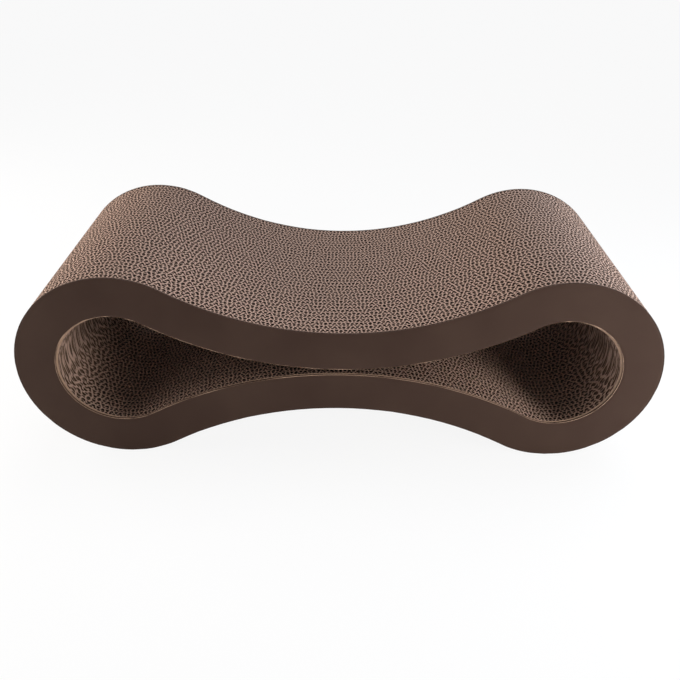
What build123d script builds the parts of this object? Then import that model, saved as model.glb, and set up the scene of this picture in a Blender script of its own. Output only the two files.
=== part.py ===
"""Cardboard cat scratcher: a bone-shaped closed band, laminated from die-cut corrugated boards.

Millimetres, +Z up. The boards stand on edge, one behind the other along Y. X runs along the length.
The origin is on the floor, under the middle of the scratcher.
"""

import os
from math import hypot

from build123d import *

os.makedirs("parts", exist_ok=True)

# Driving dimensions of the bone outline
overall_length = 570.0
overall_height = 180.0
band_thickness = 37.0  # cardboard between the outside and the opening, all the way round
slit_gap = 4.0  # height of the opening at its narrowest, half way along

# Driving dimensions of the stack
board_count = 37
board_thickness = 6.0  # one double-wall board: two fluted sheets between three liners
cover_thickness = 2.0  # fine-fluted printed panel that closes each end of the stack
cover_reveal = 0.7  # how much of the first board's rim shows around the cover's opening
cover_end_reveal = 1.2  # how much more of it shows at the opening's two far ends

# Outline: two round lobes joined by two shallow saddles, each tangent to both lobes
lobe_radius = overall_height / 2
lobe_centre_x = overall_length / 2 - lobe_radius
opening_radius = lobe_radius - band_thickness
waist_height = 2 * band_thickness + slit_gap

# Stack, from the front cover's face to the rear cover's face
overall_depth = board_count * board_thickness + 2 * cover_thickness
front_cover_y = -overall_depth / 2
first_board_y = front_cover_y + cover_thickness
rear_cover_y = first_board_y + board_count * board_thickness


def bone_face(end_radius, end_centre_x, waist):
    """A bone outline as a face, centred on the sketch's origin: round ends, and a waist this high."""
    dip_z = waist / 2
    saddle_radius = (end_centre_x**2 + dip_z**2 - end_radius**2) / (2 * (end_radius - dip_z))
    saddle_centre_z = dip_z + saddle_radius
    centre_distance = hypot(end_centre_x, saddle_centre_z)
    join_x = end_centre_x - end_radius * end_centre_x / centre_distance
    join_z = end_radius * saddle_centre_z / centre_distance
    end_x = end_centre_x + end_radius
    with BuildSketch() as outline:
        with BuildLine():
            ThreePointArc((join_x, -join_z), (end_x, 0), (join_x, join_z))
            ThreePointArc((join_x, join_z), (0, dip_z), (-join_x, join_z))
            ThreePointArc((-join_x, join_z), (-end_x, 0), (-join_x, -join_z))
            ThreePointArc((-join_x, -join_z), (0, -dip_z), (join_x, -join_z))
        make_face()
    return outline.sketch


def stack_plane(y):
    """The upright plane at this depth, looking towards the front, with its origin at mid-height."""
    return Plane(origin=(0, y, lobe_radius), x_dir=(1, 0, 0), z_dir=(0, -1, 0))


# Corrugated boards, front to rear, face to face
outside = bone_face(lobe_radius, lobe_centre_x, waist_height)
board_opening = bone_face(opening_radius, lobe_centre_x, slit_gap)
for index in range(board_count):
    with BuildPart() as board:
        with BuildSketch(stack_plane(first_board_y + index * board_thickness)):
            add(outside)
            add(board_opening, mode=Mode.SUBTRACT)
        extrude(amount=-board_thickness)
    board.part.label = f"board_{index + 1:02d}"
    export_step(board.part, f"parts/{board.part.label}.step")

# Cover panels, flush with the boards outside and open a little wider than them inside
cover_opening = bone_face(
    opening_radius + cover_reveal,
    lobe_centre_x + cover_end_reveal,
    slit_gap + 2 * cover_reveal,
)
for cover_name, cover_y in (("front_cover", front_cover_y), ("rear_cover", rear_cover_y)):
    with BuildPart() as cover:
        with BuildSketch(stack_plane(cover_y)):
            add(outside)
            add(cover_opening, mode=Mode.SUBTRACT)
        extrude(amount=-cover_thickness)
    cover.part.label = cover_name
    export_step(cover.part, f"parts/{cover_name}.step")
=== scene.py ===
import random
from math import ceil, cos, pi, radians, sin, tau

import bpy
from mathutils import Matrix, Vector


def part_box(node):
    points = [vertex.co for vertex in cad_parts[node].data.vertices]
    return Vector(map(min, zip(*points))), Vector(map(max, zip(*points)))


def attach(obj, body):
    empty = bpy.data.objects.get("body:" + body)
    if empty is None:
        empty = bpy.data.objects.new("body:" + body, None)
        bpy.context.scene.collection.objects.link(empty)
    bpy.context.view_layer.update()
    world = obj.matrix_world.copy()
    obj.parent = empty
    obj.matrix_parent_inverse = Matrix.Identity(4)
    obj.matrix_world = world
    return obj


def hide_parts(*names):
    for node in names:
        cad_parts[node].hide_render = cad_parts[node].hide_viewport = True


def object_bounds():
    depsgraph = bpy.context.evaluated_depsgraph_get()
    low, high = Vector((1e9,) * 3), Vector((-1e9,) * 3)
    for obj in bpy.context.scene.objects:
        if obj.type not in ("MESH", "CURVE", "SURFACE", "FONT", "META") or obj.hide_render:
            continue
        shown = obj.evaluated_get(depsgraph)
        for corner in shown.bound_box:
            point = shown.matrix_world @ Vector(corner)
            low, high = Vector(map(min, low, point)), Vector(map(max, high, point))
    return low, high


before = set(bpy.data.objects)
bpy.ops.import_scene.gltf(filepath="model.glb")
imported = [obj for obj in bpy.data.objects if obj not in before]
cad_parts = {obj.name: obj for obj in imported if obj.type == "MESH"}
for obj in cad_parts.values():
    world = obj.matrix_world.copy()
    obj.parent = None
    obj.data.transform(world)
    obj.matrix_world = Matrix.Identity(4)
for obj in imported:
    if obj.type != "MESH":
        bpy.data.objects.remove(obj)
cad_low, cad_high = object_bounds()
random.seed(37)

MM = 0.001

# Corrugated board, from its front: liner, fine B flute, liner, coarse C flute, liner
OUTER_LINER = 0.45 * MM  # drawn thicker than real paper, as the flanks are
MIDDLE_LINER = 0.2 * MM
FLUTING_CREST = 0.2 * MM
FLUTING_FLANK = 1.15 * MM  # drawn thicker than real paper, so that the cut edge shows between the holes
B_PITCH = 6.6 * MM
C_PITCH = 7.81 * MM
B_SHARE = 0.4  # of the room that the liners leave in a board
SPARE_FLUTES = 3  # past the outline, so that a sheet covers it wherever its first flute starts
FLUTE_DRIFT = 0.04  # of the pitch, how far flutes wander from their even spacing
DRIFT_PITCHES = (20, 35)  # fewest and most pitches in which they wander to and fro once
MASTER_BOARDS = 8
TURNED_SHARE = 0.5  # of the boards, which stand end for end

# One flute's corners: shares of the pitch along it and of the swing across it. True ones are on a flank.
FLUTE_CORNERS = (
    (0.06, 0.8, True),
    (0.13, 1.0, False),
    (0.37, 1.0, False),
    (0.44, 0.8, True),
    (0.56, -0.8, True),
    (0.63, -1.0, False),
    (0.87, -1.0, False),
    (0.94, -0.8, True),
)

# Cover panel, from its printed side: printed liner, fine E flute, back liner
PRINTED_LINER = 0.45 * MM
BACK_LINER = 0.45 * MM
E_PITCH = 3.4 * MM
E_FLUTING = 0.25 * MM
EDGE_CRUSH = 0.25 * MM  # how far die cutting presses the printed liner back along its edges
CRUSH_WIDTH = 2.6 * MM
RAW_RIM = 0.35 * MM  # bare paper that the print leaves round the opening
PRINT_SHIFT = 0.3 * MM  # how far the print sits too high, which bares more paper above the opening

# Paper surfaces. Real fibres and grain are too fine to show, so both are drawn as coarse as they need.
FIBRE_SIZE = 0.9 * MM
FIBRE_DETAIL = 4.0
FIBRE_UNEVENNESS = 0.6
FIBRE_BUMP = 0.25
PRINT_GRAIN = 1.2 * MM
PRINT_CLOUD = 60 * MM  # how far apart the ink lies thicker and thinner
PRINT_DETAIL = 3.0
PRINT_BUMP = 0.08
PRINT_ROUGHNESS = (0.5, 0.62)
BUMP_HEIGHT = 0.1 * MM
NOISE_RANGE = (0.3, 0.7)  # where nearly all of a noise's values lie
PAPER_SPECULAR = 0.25
PRINT_SPECULAR = 0.12
OPEN_FLUTES = (0.6, 0.95)  # shares of sideways facing between which a round end's flutes open up and painted light replaces their painted shade

# Places of a Mix node's colour sockets, which share their names with its other sockets
COLOUR_A = 6
COLOUR_B = 7
MIXED_COLOUR = 2

# Copies of the CAD meshes
SQUARE_ON = 0.5  # share of a face's normal along the depth, past which it is a front or rear face
MERGE_DISTANCE = 0.001 * MM

# The photograph's camera, fitted to the object's edges
PHOTO_PIXELS = 680
SENSOR_MM = 36.0
FOCAL_PIXELS = 748.5
CAMERA_DISTANCE = 0.7756
CAMERA_TARGET = Vector((0.0005, 0.0, 0.0551))
ELEVATION = radians(31.14)
YAW = radians(0.22)
ROLL = radians(0.73)

# Studio
FLOOR_SIZE = 12.0
FLOOR_ROUGHNESS = 0.9
FLOOR_WHITENESS = 0.9  # share of the floor's look that is plain white, the rest being lit paper
SURROUNDING_LIGHT = 0.145

board_nodes = sorted(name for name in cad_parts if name.startswith("board_"))
outline_low, outline_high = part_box(board_nodes[0])
MID_HEIGHT = (outline_low.z + outline_high.z) / 2
LOBE_X = outline_high.x - (outline_high.z - outline_low.z) / 2  # from the middle to a round end's centre


def linear(code):
    """An sRGB hex colour as linear RGBA."""
    shares = [int(code[at:at + 2], 16) / 255 for at in (1, 3, 5)]
    return [s / 12.92 if s <= 0.04045 else ((s + 0.055) / 1.055) ** 2.4 for s in shares] + [1.0]


def add_node(tree, kind, inputs=None, **settings):
    """Adds a node with its settings. An input is a value, or the output that it is linked from."""
    node = tree.nodes.new(kind)
    for name, value in settings.items():
        setattr(node, name, value)
    for name, value in (inputs or {}).items():
        if isinstance(value, bpy.types.NodeSocket):
            tree.links.new(value, node.inputs[name])
        else:
            node.inputs[name].default_value = value
    return node


def new_material(name):
    """An empty material, its node tree and the shader that its surface shows."""
    material = bpy.data.materials.new(name)
    material.use_nodes = True
    tree = material.node_tree
    tree.nodes.clear()
    shader = add_node(tree, "ShaderNodeBsdfPrincipled")
    add_node(tree, "ShaderNodeOutputMaterial", {"Surface": shader.outputs["BSDF"]})
    return material, tree, shader


def paper(name, dark, light, roughness):
    """Uncoated paper: its fibres lie in all directions, so it is matt and finely mottled."""
    material, tree, shader = new_material(name)
    place = add_node(tree, "ShaderNodeTexCoord").outputs["Object"]
    fibres = add_node(
        tree,
        "ShaderNodeTexNoise",
        {"Vector": place, "Scale": 1 / FIBRE_SIZE, "Detail": FIBRE_DETAIL, "Roughness": FIBRE_UNEVENNESS},
    )
    tones = add_node(tree, "ShaderNodeValToRGB", {"Fac": fibres.outputs["Fac"]})
    for end, position, tone in zip(tones.color_ramp.elements, NOISE_RANGE, (dark, light)):
        end.position = position
        end.color = linear(tone)
    bump = add_node(
        tree,
        "ShaderNodeBump",
        {"Height": fibres.outputs["Fac"], "Strength": FIBRE_BUMP, "Distance": BUMP_HEIGHT},
    )
    tree.links.new(tones.outputs["Color"], shader.inputs["Base Color"])
    tree.links.new(bump.outputs["Normal"], shader.inputs["Normal"])
    shader.inputs["Roughness"].default_value = roughness
    shader.inputs["Specular IOR Level"].default_value = PAPER_SPECULAR
    return material


def printed_paper(name, dark, light):
    """Printed liner: an even dark ink on smooth paper, with a soft satin sheen."""
    material, tree, shader = new_material(name)
    place = add_node(tree, "ShaderNodeTexCoord").outputs["Object"]
    clouds = add_node(
        tree, "ShaderNodeTexNoise", {"Vector": place, "Scale": 1 / PRINT_CLOUD, "Detail": PRINT_DETAIL}
    )
    tones = add_node(tree, "ShaderNodeValToRGB", {"Fac": clouds.outputs["Fac"]})
    for end, position, tone in zip(tones.color_ramp.elements, NOISE_RANGE, (dark, light)):
        end.position = position
        end.color = linear(tone)
    grain = add_node(
        tree, "ShaderNodeTexNoise", {"Vector": place, "Scale": 1 / PRINT_GRAIN, "Detail": PRINT_DETAIL}
    )
    shine = add_node(
        tree,
        "ShaderNodeMapRange",
        {
            "Value": grain.outputs["Fac"],
            "From Min": NOISE_RANGE[0],
            "From Max": NOISE_RANGE[1],
            "To Min": PRINT_ROUGHNESS[0],
            "To Max": PRINT_ROUGHNESS[1],
        },
    )
    bump = add_node(
        tree,
        "ShaderNodeBump",
        {"Height": grain.outputs["Fac"], "Strength": PRINT_BUMP, "Distance": BUMP_HEIGHT},
    )
    tree.links.new(tones.outputs["Color"], shader.inputs["Base Color"])
    tree.links.new(shine.outputs["Result"], shader.inputs["Roughness"])
    shader.inputs["Specular IOR Level"].default_value = PRINT_SPECULAR
    tree.links.new(bump.outputs["Normal"], shader.inputs["Normal"])
    return material


def paint_light_into_open_flutes(material, tone):
    """Paints light into the flutes at the far ends, where the cut runs along them and light falls in, so
    the painted shade gives way to a lighter tone.
    """
    tree = material.node_tree
    shader = tree.nodes["Principled BSDF"]
    closed = shader.inputs["Base Color"].links[0].from_socket
    place = add_node(tree, "ShaderNodeTexCoord").outputs["Object"]
    parts = add_node(tree, "ShaderNodeSeparateXYZ", {"Vector": place})
    from_middle = add_node(tree, "ShaderNodeMath", {0: parts.outputs["X"]}, operation="ABSOLUTE")
    upright = add_node(
        tree, "ShaderNodeCombineXYZ", {"X": from_middle.outputs["Value"], "Z": parts.outputs["Z"]}
    )
    from_centre = add_node(
        tree,
        "ShaderNodeVectorMath",
        {0: upright.outputs["Vector"], 1: (LOBE_X, 0.0, MID_HEIGHT)},
        operation="SUBTRACT",
    )
    facing = add_node(
        tree, "ShaderNodeVectorMath", {0: from_centre.outputs["Vector"]}, operation="NORMALIZE"
    )
    outwards = add_node(tree, "ShaderNodeSeparateXYZ", {"Vector": facing.outputs["Vector"]})
    openness = add_node(
        tree,
        "ShaderNodeMapRange",
        {"Value": outwards.outputs["X"], "From Min": OPEN_FLUTES[0], "From Max": OPEN_FLUTES[1]},
    )
    mixed = add_node(
        tree,
        "ShaderNodeMix",
        {"Factor": openness.outputs["Result"], COLOUR_A: closed, COLOUR_B: linear(tone)},
        data_type="RGBA",
    )
    tree.links.new(mixed.outputs[MIXED_COLOUR], shader.inputs["Base Color"])


# Kraft liner: unbleached long-fibred paper, pale tan and matt, with a slightly smoothed face
liner_paper = paper("kraft_liner_paper", "#B8967E", "#CAAA92", roughness=0.85)

# Recycled fluting: dull short-fibred paper with painted shade. It is drawn darker than it is, so that the
# flutes look deep in shade, and the liners' faces inside a board take it too
fluting_paper_in_painted_shade = paper("recycled_fluting_paper_painted_shade", "#201712", "#2A1F18", roughness=0.9)
# Painted light in the open flutes at the round ends
paint_light_into_open_flutes(fluting_paper_in_painted_shade, "#5E4A3A")

# Die-cut edge: fibres broken by the cutting rule, greyer and duller than the liner's face
cut_edge = paper("die_cut_paper_edge", "#AC8F80", "#BEA090", roughness=0.95)

# Brown printed liner: ink that fills the paper's face, dark and even, and the only surface with a sheen
printed_liner = printed_paper("brown_printed_liner", "#433129", "#4B3930")

# Dyed brown paper: the cover's plies behind its print, brown right through, matt and lighter than the ink
cover_paper = paper("dyed_brown_paper", "#54423A", "#604C42", roughness=0.9)


def use_only(*items):
    """Selects these objects alone. The last one is active."""
    bpy.ops.object.select_all(action="DESELECT")
    for item in items:
        item.select_set(True)
    bpy.context.view_layer.objects.active = items[-1]


def apply_modifiers(item):
    """Makes the object's modifiers part of its mesh, in their order."""
    use_only(item)
    for modifier in list(item.modifiers):
        bpy.ops.object.modifier_apply(modifier=modifier.name)


def die_cut_slab(name, node, front_y, rear_y, front_paper, rear_paper, rim_paper):
    """A closed slab with a CAD node's outline between two depths."""
    low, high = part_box(node)
    slab = bpy.data.objects.new(name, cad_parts[node].data.copy())
    bpy.context.scene.collection.objects.link(slab)
    use_only(slab)
    bpy.ops.object.mode_set(mode="EDIT")
    bpy.ops.mesh.select_all(action="SELECT")
    bpy.ops.mesh.remove_doubles(threshold=MERGE_DISTANCE)
    bpy.ops.mesh.customdata_custom_splitnormals_clear()
    bpy.ops.mesh.faces_shade_flat()
    bpy.ops.object.mode_set(mode="OBJECT")
    for vertex in slab.data.vertices:
        depth = (vertex.co.y - low.y) / (high.y - low.y)
        vertex.co.y = front_y + depth * (rear_y - front_y)
    slab.data.materials.clear()
    for slot_paper in (front_paper, rear_paper, rim_paper):
        slab.data.materials.append(slot_paper)
    for face in slab.data.polygons:
        if face.normal.y < -SQUARE_ON:
            face.material_index = 0
        elif face.normal.y > SQUARE_ON:
            face.material_index = 1
        else:
            face.material_index = 2
    return slab


def fluted_sheet(name, node, front_y, rear_y, pitch, crest, flank, edge_paper):
    """A sheet of fluting that swings between two depths, with upright flutes, cut to a node's outline."""
    low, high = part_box(node)
    flutes = ceil((high.x - low.x) / pitch) + SPARE_FLUTES
    steps = flutes * len(FLUTE_CORNERS)
    bpy.ops.mesh.primitive_grid_add(x_subdivisions=steps, y_subdivisions=1, size=1, rotation=(pi / 2, 0, 0))
    sheet = bpy.context.object
    sheet.name = name
    sheet.location = (0, (front_y + rear_y) / 2, (low.z + high.z) / 2)
    sheet.scale = (1, high.z - low.z + 2 * pitch, 1)
    bpy.ops.object.transform_apply(location=True, rotation=True, scale=True)
    swing = (rear_y - front_y - crest) / 2
    start_x = low.x - pitch * random.uniform(1, SPARE_FLUTES - 1)
    drift_start = random.uniform(0, tau)
    drift_length = random.uniform(*DRIFT_PITCHES) * pitch
    flanks = sheet.vertex_groups.new(name="flanks")
    for vertex in sheet.data.vertices:
        # The grid is 1 wide about its middle, so its steps count from -0.5
        flute, corner = divmod(round((vertex.co.x + 0.5) * steps), len(FLUTE_CORNERS))
        along, across, on_flank = FLUTE_CORNERS[corner]
        if on_flank:
            flanks.add([vertex.index], 1.0, "REPLACE")
        vertex.co.x = start_x + (flute + along) * pitch
        vertex.co.x += FLUTE_DRIFT * pitch * sin(tau * vertex.co.x / drift_length + drift_start)
        vertex.co.y += across * swing
    # The sheet's faces are painted dark as shade
    sheet.data.materials.append(fluting_paper_in_painted_shade)
    thicken = sheet.modifiers.new("paper thickness", "SOLIDIFY")
    thicken.thickness = flank
    thicken.vertex_group = flanks.name
    thicken.thickness_vertex_group = crest / flank
    thicken.offset = 0
    thicken.use_even_offset = True
    die = die_cut_slab("die", node, front_y - pitch, rear_y + pitch, edge_paper, edge_paper, edge_paper)
    cut = sheet.modifiers.new("die cut", "BOOLEAN")
    cut.operation = "INTERSECT"
    cut.solver = "MANIFOLD"
    cut.material_mode = "TRANSFER"
    cut.object = die
    apply_modifiers(sheet)
    bpy.data.objects.remove(die)
    return sheet


def joined(name, *layers):
    """Joins layers into one piece."""
    use_only(*layers)
    bpy.ops.object.join()
    piece = bpy.context.object
    piece.name = name
    return piece


def corrugated_board(name):
    """One double-wall board at the first board's place."""
    node = board_nodes[0]
    low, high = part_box(node)
    room = high.y - low.y - 2 * OUTER_LINER - MIDDLE_LINER
    b_front = low.y + OUTER_LINER
    b_rear = b_front + B_SHARE * room
    c_front = b_rear + MIDDLE_LINER
    c_rear = high.y - OUTER_LINER
    # The liners' inner faces take the fluting paper, whose dark tone is painted shade
    return joined(
        name,
        die_cut_slab("front liner", node, low.y, b_front, liner_paper, fluting_paper_in_painted_shade, cut_edge),
        fluted_sheet("b flute", node, b_front, b_rear, B_PITCH, FLUTING_CREST, FLUTING_FLANK, cut_edge),
        die_cut_slab("middle liner", node, b_rear, c_front, fluting_paper_in_painted_shade, fluting_paper_in_painted_shade, cut_edge),
        fluted_sheet("c flute", node, c_front, c_rear, C_PITCH, FLUTING_CREST, FLUTING_FLANK, cut_edge),
        die_cut_slab("rear liner", node, c_rear, high.y, fluting_paper_in_painted_shade, liner_paper, cut_edge),
    )


def stack_of_boards():
    """Each board is a copy of one of a few, some turned end for end. No two neighbours share one."""
    masters = [corrugated_board(f"master_{index}") for index in range(MASTER_BOARDS)]
    first_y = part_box(board_nodes[0])[0].y
    last = None
    for node in board_nodes:
        choice = random.choice([m for m in masters if m is not last])
        last = choice
        board = bpy.data.objects.new(f"corrugated_{node}", choice.data.copy())
        bpy.context.scene.collection.objects.link(board)
        if random.random() < TURNED_SHARE:
            board.data.transform(Matrix.Scale(-1, 4, (1, 0, 0)))
            board.data.flip_normals()
        board.data.transform(Matrix.Translation((0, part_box(node)[0].y - first_y, 0)))
        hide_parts(node)
        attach(board, "root")
    for master in masters:
        bpy.data.objects.remove(master)


def opening_walls(slab):
    """The slab's rim faces that look into the opening, towards the line between the round ends' centres."""
    walls = []
    for face in slab.data.polygons:
        nearest_x = min(max(face.center.x, -LOBE_X), LOBE_X)
        inwards = Vector((nearest_x, face.center.y, MID_HEIGHT)) - face.center
        if abs(face.normal.y) < SQUARE_ON and face.normal.dot(inwards) > 0:
            walls.append(face)
    return walls


def inset_selected(slab, width):
    """Insets the selected faces and leaves the inner ones selected."""
    use_only(slab)
    bpy.ops.object.mode_set(mode="EDIT")
    bpy.ops.mesh.inset(thickness=width)
    bpy.ops.object.mode_set(mode="OBJECT")


def printed_face(node, face_y, back_y):
    """A cover's printed liner, pressed back along its edges, with a rim of bare paper round the opening."""
    inwards = 1 if back_y > face_y else -1
    front_y, rear_y = sorted((face_y, back_y))
    liner = die_cut_slab(
        "printed liner", node, front_y, rear_y, printed_liner, printed_liner, printed_liner
    )
    liner.data.materials.append(cover_paper)
    cut_slot = len(liner.data.materials) - 1
    liner.data.materials.append(liner_paper)
    bare_slot = len(liner.data.materials) - 1
    walls = opening_walls(liner)
    opening_edge = {index for face in walls for index in face.vertices}
    for face in walls:
        face.material_index = cut_slot
    rims = [v.index for v in liner.data.vertices if abs(v.co.y - face_y) < PRINTED_LINER / 2]
    use_only(liner)
    bpy.ops.object.mode_set(mode="EDIT")
    bpy.ops.mesh.select_all(action="DESELECT")
    bpy.ops.object.mode_set(mode="OBJECT")
    for face in liner.data.polygons:
        face.select = face.normal.y * inwards < -SQUARE_ON
    inset_selected(liner, RAW_RIM)
    print_edge = set()
    for face in liner.data.polygons:
        in_ring = face.normal.y * inwards < -SQUARE_ON and not face.select
        if in_ring and opening_edge.intersection(face.vertices):
            face.material_index = bare_slot
            print_edge.update(set(face.vertices) - opening_edge)
    for index in print_edge:
        liner.data.vertices[index].co.z += PRINT_SHIFT
    inset_selected(liner, CRUSH_WIDTH - RAW_RIM)
    for index in rims:
        liner.data.vertices[index].co.y += inwards * EDGE_CRUSH
    return liner


def cover_panel(node, face_y, inner_y):
    """A fine-fluted panel with its printed liner on the outside."""
    inwards = 1 if inner_y > face_y else -1
    print_back = face_y + inwards * PRINTED_LINER
    back_front = inner_y - inwards * BACK_LINER
    flute_front, flute_rear = sorted((print_back, back_front))
    back_low, back_high = sorted((back_front, inner_y))
    liner = printed_face(node, face_y, print_back)
    panel = joined(
        f"panel_{node}",
        fluted_sheet("e flute", node, flute_front, flute_rear, E_PITCH, E_FLUTING, E_FLUTING, cover_paper),
        die_cut_slab("back liner", node, back_low, back_high, cover_paper, cover_paper, cover_paper),
        liner,
    )
    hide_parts(node)
    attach(panel, "root")


stack_of_boards()
front_low, front_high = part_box("front_cover")
rear_low, rear_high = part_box("rear_cover")
cover_panel("front_cover", front_low.y, front_high.y)
cover_panel("rear_cover", rear_high.y, rear_low.y)


def photo_camera():
    """The photograph's viewpoint."""
    forward = Vector((sin(YAW) * cos(ELEVATION), cos(YAW) * cos(ELEVATION), -sin(ELEVATION)))
    level_right = Vector((cos(YAW), -sin(YAW), 0))
    level_up = level_right.cross(forward)
    right = cos(ROLL) * level_right + sin(ROLL) * level_up
    up = cos(ROLL) * level_up - sin(ROLL) * level_right
    camera = bpy.data.objects.new("camera", bpy.data.cameras.new("camera"))
    camera.data.sensor_width = SENSOR_MM
    camera.data.lens = SENSOR_MM * FOCAL_PIXELS / PHOTO_PIXELS
    turn = Matrix((right, up, -forward)).transposed().to_4x4()
    camera.matrix_world = Matrix.Translation(CAMERA_TARGET - CAMERA_DISTANCE * forward) @ turn
    bpy.context.scene.collection.objects.link(camera)
    bpy.context.scene.camera = camera


def softbox(name, place, aim, size, colour, power):
    """A soft rectangular lamp that faces a point."""
    lamp = bpy.data.lights.new(name, "AREA")
    lamp.shape = "RECTANGLE"
    lamp.size, lamp.size_y = size
    lamp.color = linear(colour)[:3]
    lamp.energy = power
    light = bpy.data.objects.new(name, lamp)
    light.location = place
    light.rotation_euler = (Vector(aim) - Vector(place)).to_track_quat("-Z", "Y").to_euler()
    light.visible_camera = False
    bpy.context.scene.collection.objects.link(light)


def soft_sun(name, direction, colour, strength, spread):
    """A distant soft light from this direction, as even as a very large softbox."""
    lamp = bpy.data.lights.new(name, "SUN")
    lamp.color = linear(colour)[:3]
    lamp.energy = strength
    lamp.angle = spread
    light = bpy.data.objects.new(name, lamp)
    light.rotation_euler = Vector(direction).to_track_quat("Z", "Y").to_euler()
    bpy.context.scene.collection.objects.link(light)


def seen_directly(tree):
    """1 for rays from the camera, straight or by way of a mirror or glass, and 0 for light."""
    path = add_node(tree, "ShaderNodeLightPath")
    mirrored = add_node(
        tree,
        "ShaderNodeMath",
        {0: path.outputs["Is Camera Ray"], 1: path.outputs["Is Glossy Ray"]},
        operation="MAXIMUM",
    )
    either = add_node(
        tree,
        "ShaderNodeMath",
        {0: mirrored.outputs["Value"], 1: path.outputs["Is Transmission Ray"]},
        operation="MAXIMUM",
    )
    return either.outputs["Value"]


def white_floor():
    """A floor of matt white studio paper, which keeps a soft shadow of the object."""
    bpy.ops.mesh.primitive_plane_add(size=FLOOR_SIZE, location=(0, 0, cad_low.z))
    floor = bpy.context.object
    floor.name = "floor"
    material, tree, shader = new_material("white_studio_floor")
    shader.inputs["Base Color"].default_value = linear("#F0F0F0")
    shader.inputs["Roughness"].default_value = FLOOR_ROUGHNESS
    shader.inputs["Specular IOR Level"].default_value = 0.0
    glow = add_node(tree, "ShaderNodeEmission", {"Color": linear("#FFFFFF"), "Strength": 1.0})
    share = add_node(
        tree, "ShaderNodeMath", {0: seen_directly(tree), 1: FLOOR_WHITENESS}, operation="MULTIPLY"
    )
    mixed = add_node(
        tree,
        "ShaderNodeMixShader",
        {0: share.outputs["Value"], 1: shader.outputs["BSDF"], 2: glow.outputs["Emission"]},
    )
    output = tree.get_output_node("ALL")
    tree.links.new(mixed.outputs["Shader"], output.inputs["Surface"])
    floor.data.materials.append(material)


def white_surroundings():
    """White where the camera sees it, and a faint even light on the object."""
    world = bpy.data.worlds.new("studio")
    bpy.context.scene.world = world
    world.use_nodes = True
    tree = world.node_tree
    tree.nodes.clear()
    strength = add_node(
        tree,
        "ShaderNodeMapRange",
        {"Value": seen_directly(tree), "To Min": SURROUNDING_LIGHT, "To Max": 1.0},
    )
    back = add_node(
        tree, "ShaderNodeBackground", {"Color": linear("#FFFFFF"), "Strength": strength.outputs["Result"]}
    )
    add_node(tree, "ShaderNodeOutputWorld", {"Surface": back.outputs["Background"]})


def studio():
    """White surroundings, a white floor, an overhead light and softboxes on both sides."""
    white_surroundings()
    white_floor()
    soft_sun(
        "overhead light",
        direction=(0.16, 0.35, 0.92),
        colour="#F7F8FF",
        strength=1.32,
        spread=radians(40),
    )
    softbox(
        "right softbox",
        place=(0.6, 0.05, 0.4),
        aim=(0.24, 0.0, 0.13),
        size=(0.4, 0.4),
        colour="#DDEEFF",
        power=2.2,
    )
    softbox(
        "left softbox",
        place=(-1.0, 0.1, 0.48),
        aim=(-0.2, 0.0, 0.09),
        size=(0.8, 0.6),
        colour="#FFF8EE",
        power=8.4,
    )
    softbox(
        "right front softbox",
        place=(0.9, -0.6, 0.3),
        aim=(0.0, -0.11, 0.08),
        size=(0.4, 0.3),
        colour="#FFF8F0",
        power=3.2,
    )
    softbox(
        "right side strip",
        place=(0.7, -0.35, 0.15),
        aim=(0.15, -0.11, 0.08),
        size=(0.25, 0.15),
        colour="#FAFAF8",
        power=2.0,
    )
    softbox(
        "left front softbox",
        place=(-1.0, -0.45, 0.3),
        aim=(-0.15, -0.09, 0.06),
        size=(0.4, 0.3),
        colour="#FFF4E8",
        power=0.9,
    )


photo_camera()
studio()
bpy.context.scene.view_settings.view_transform = "Standard"
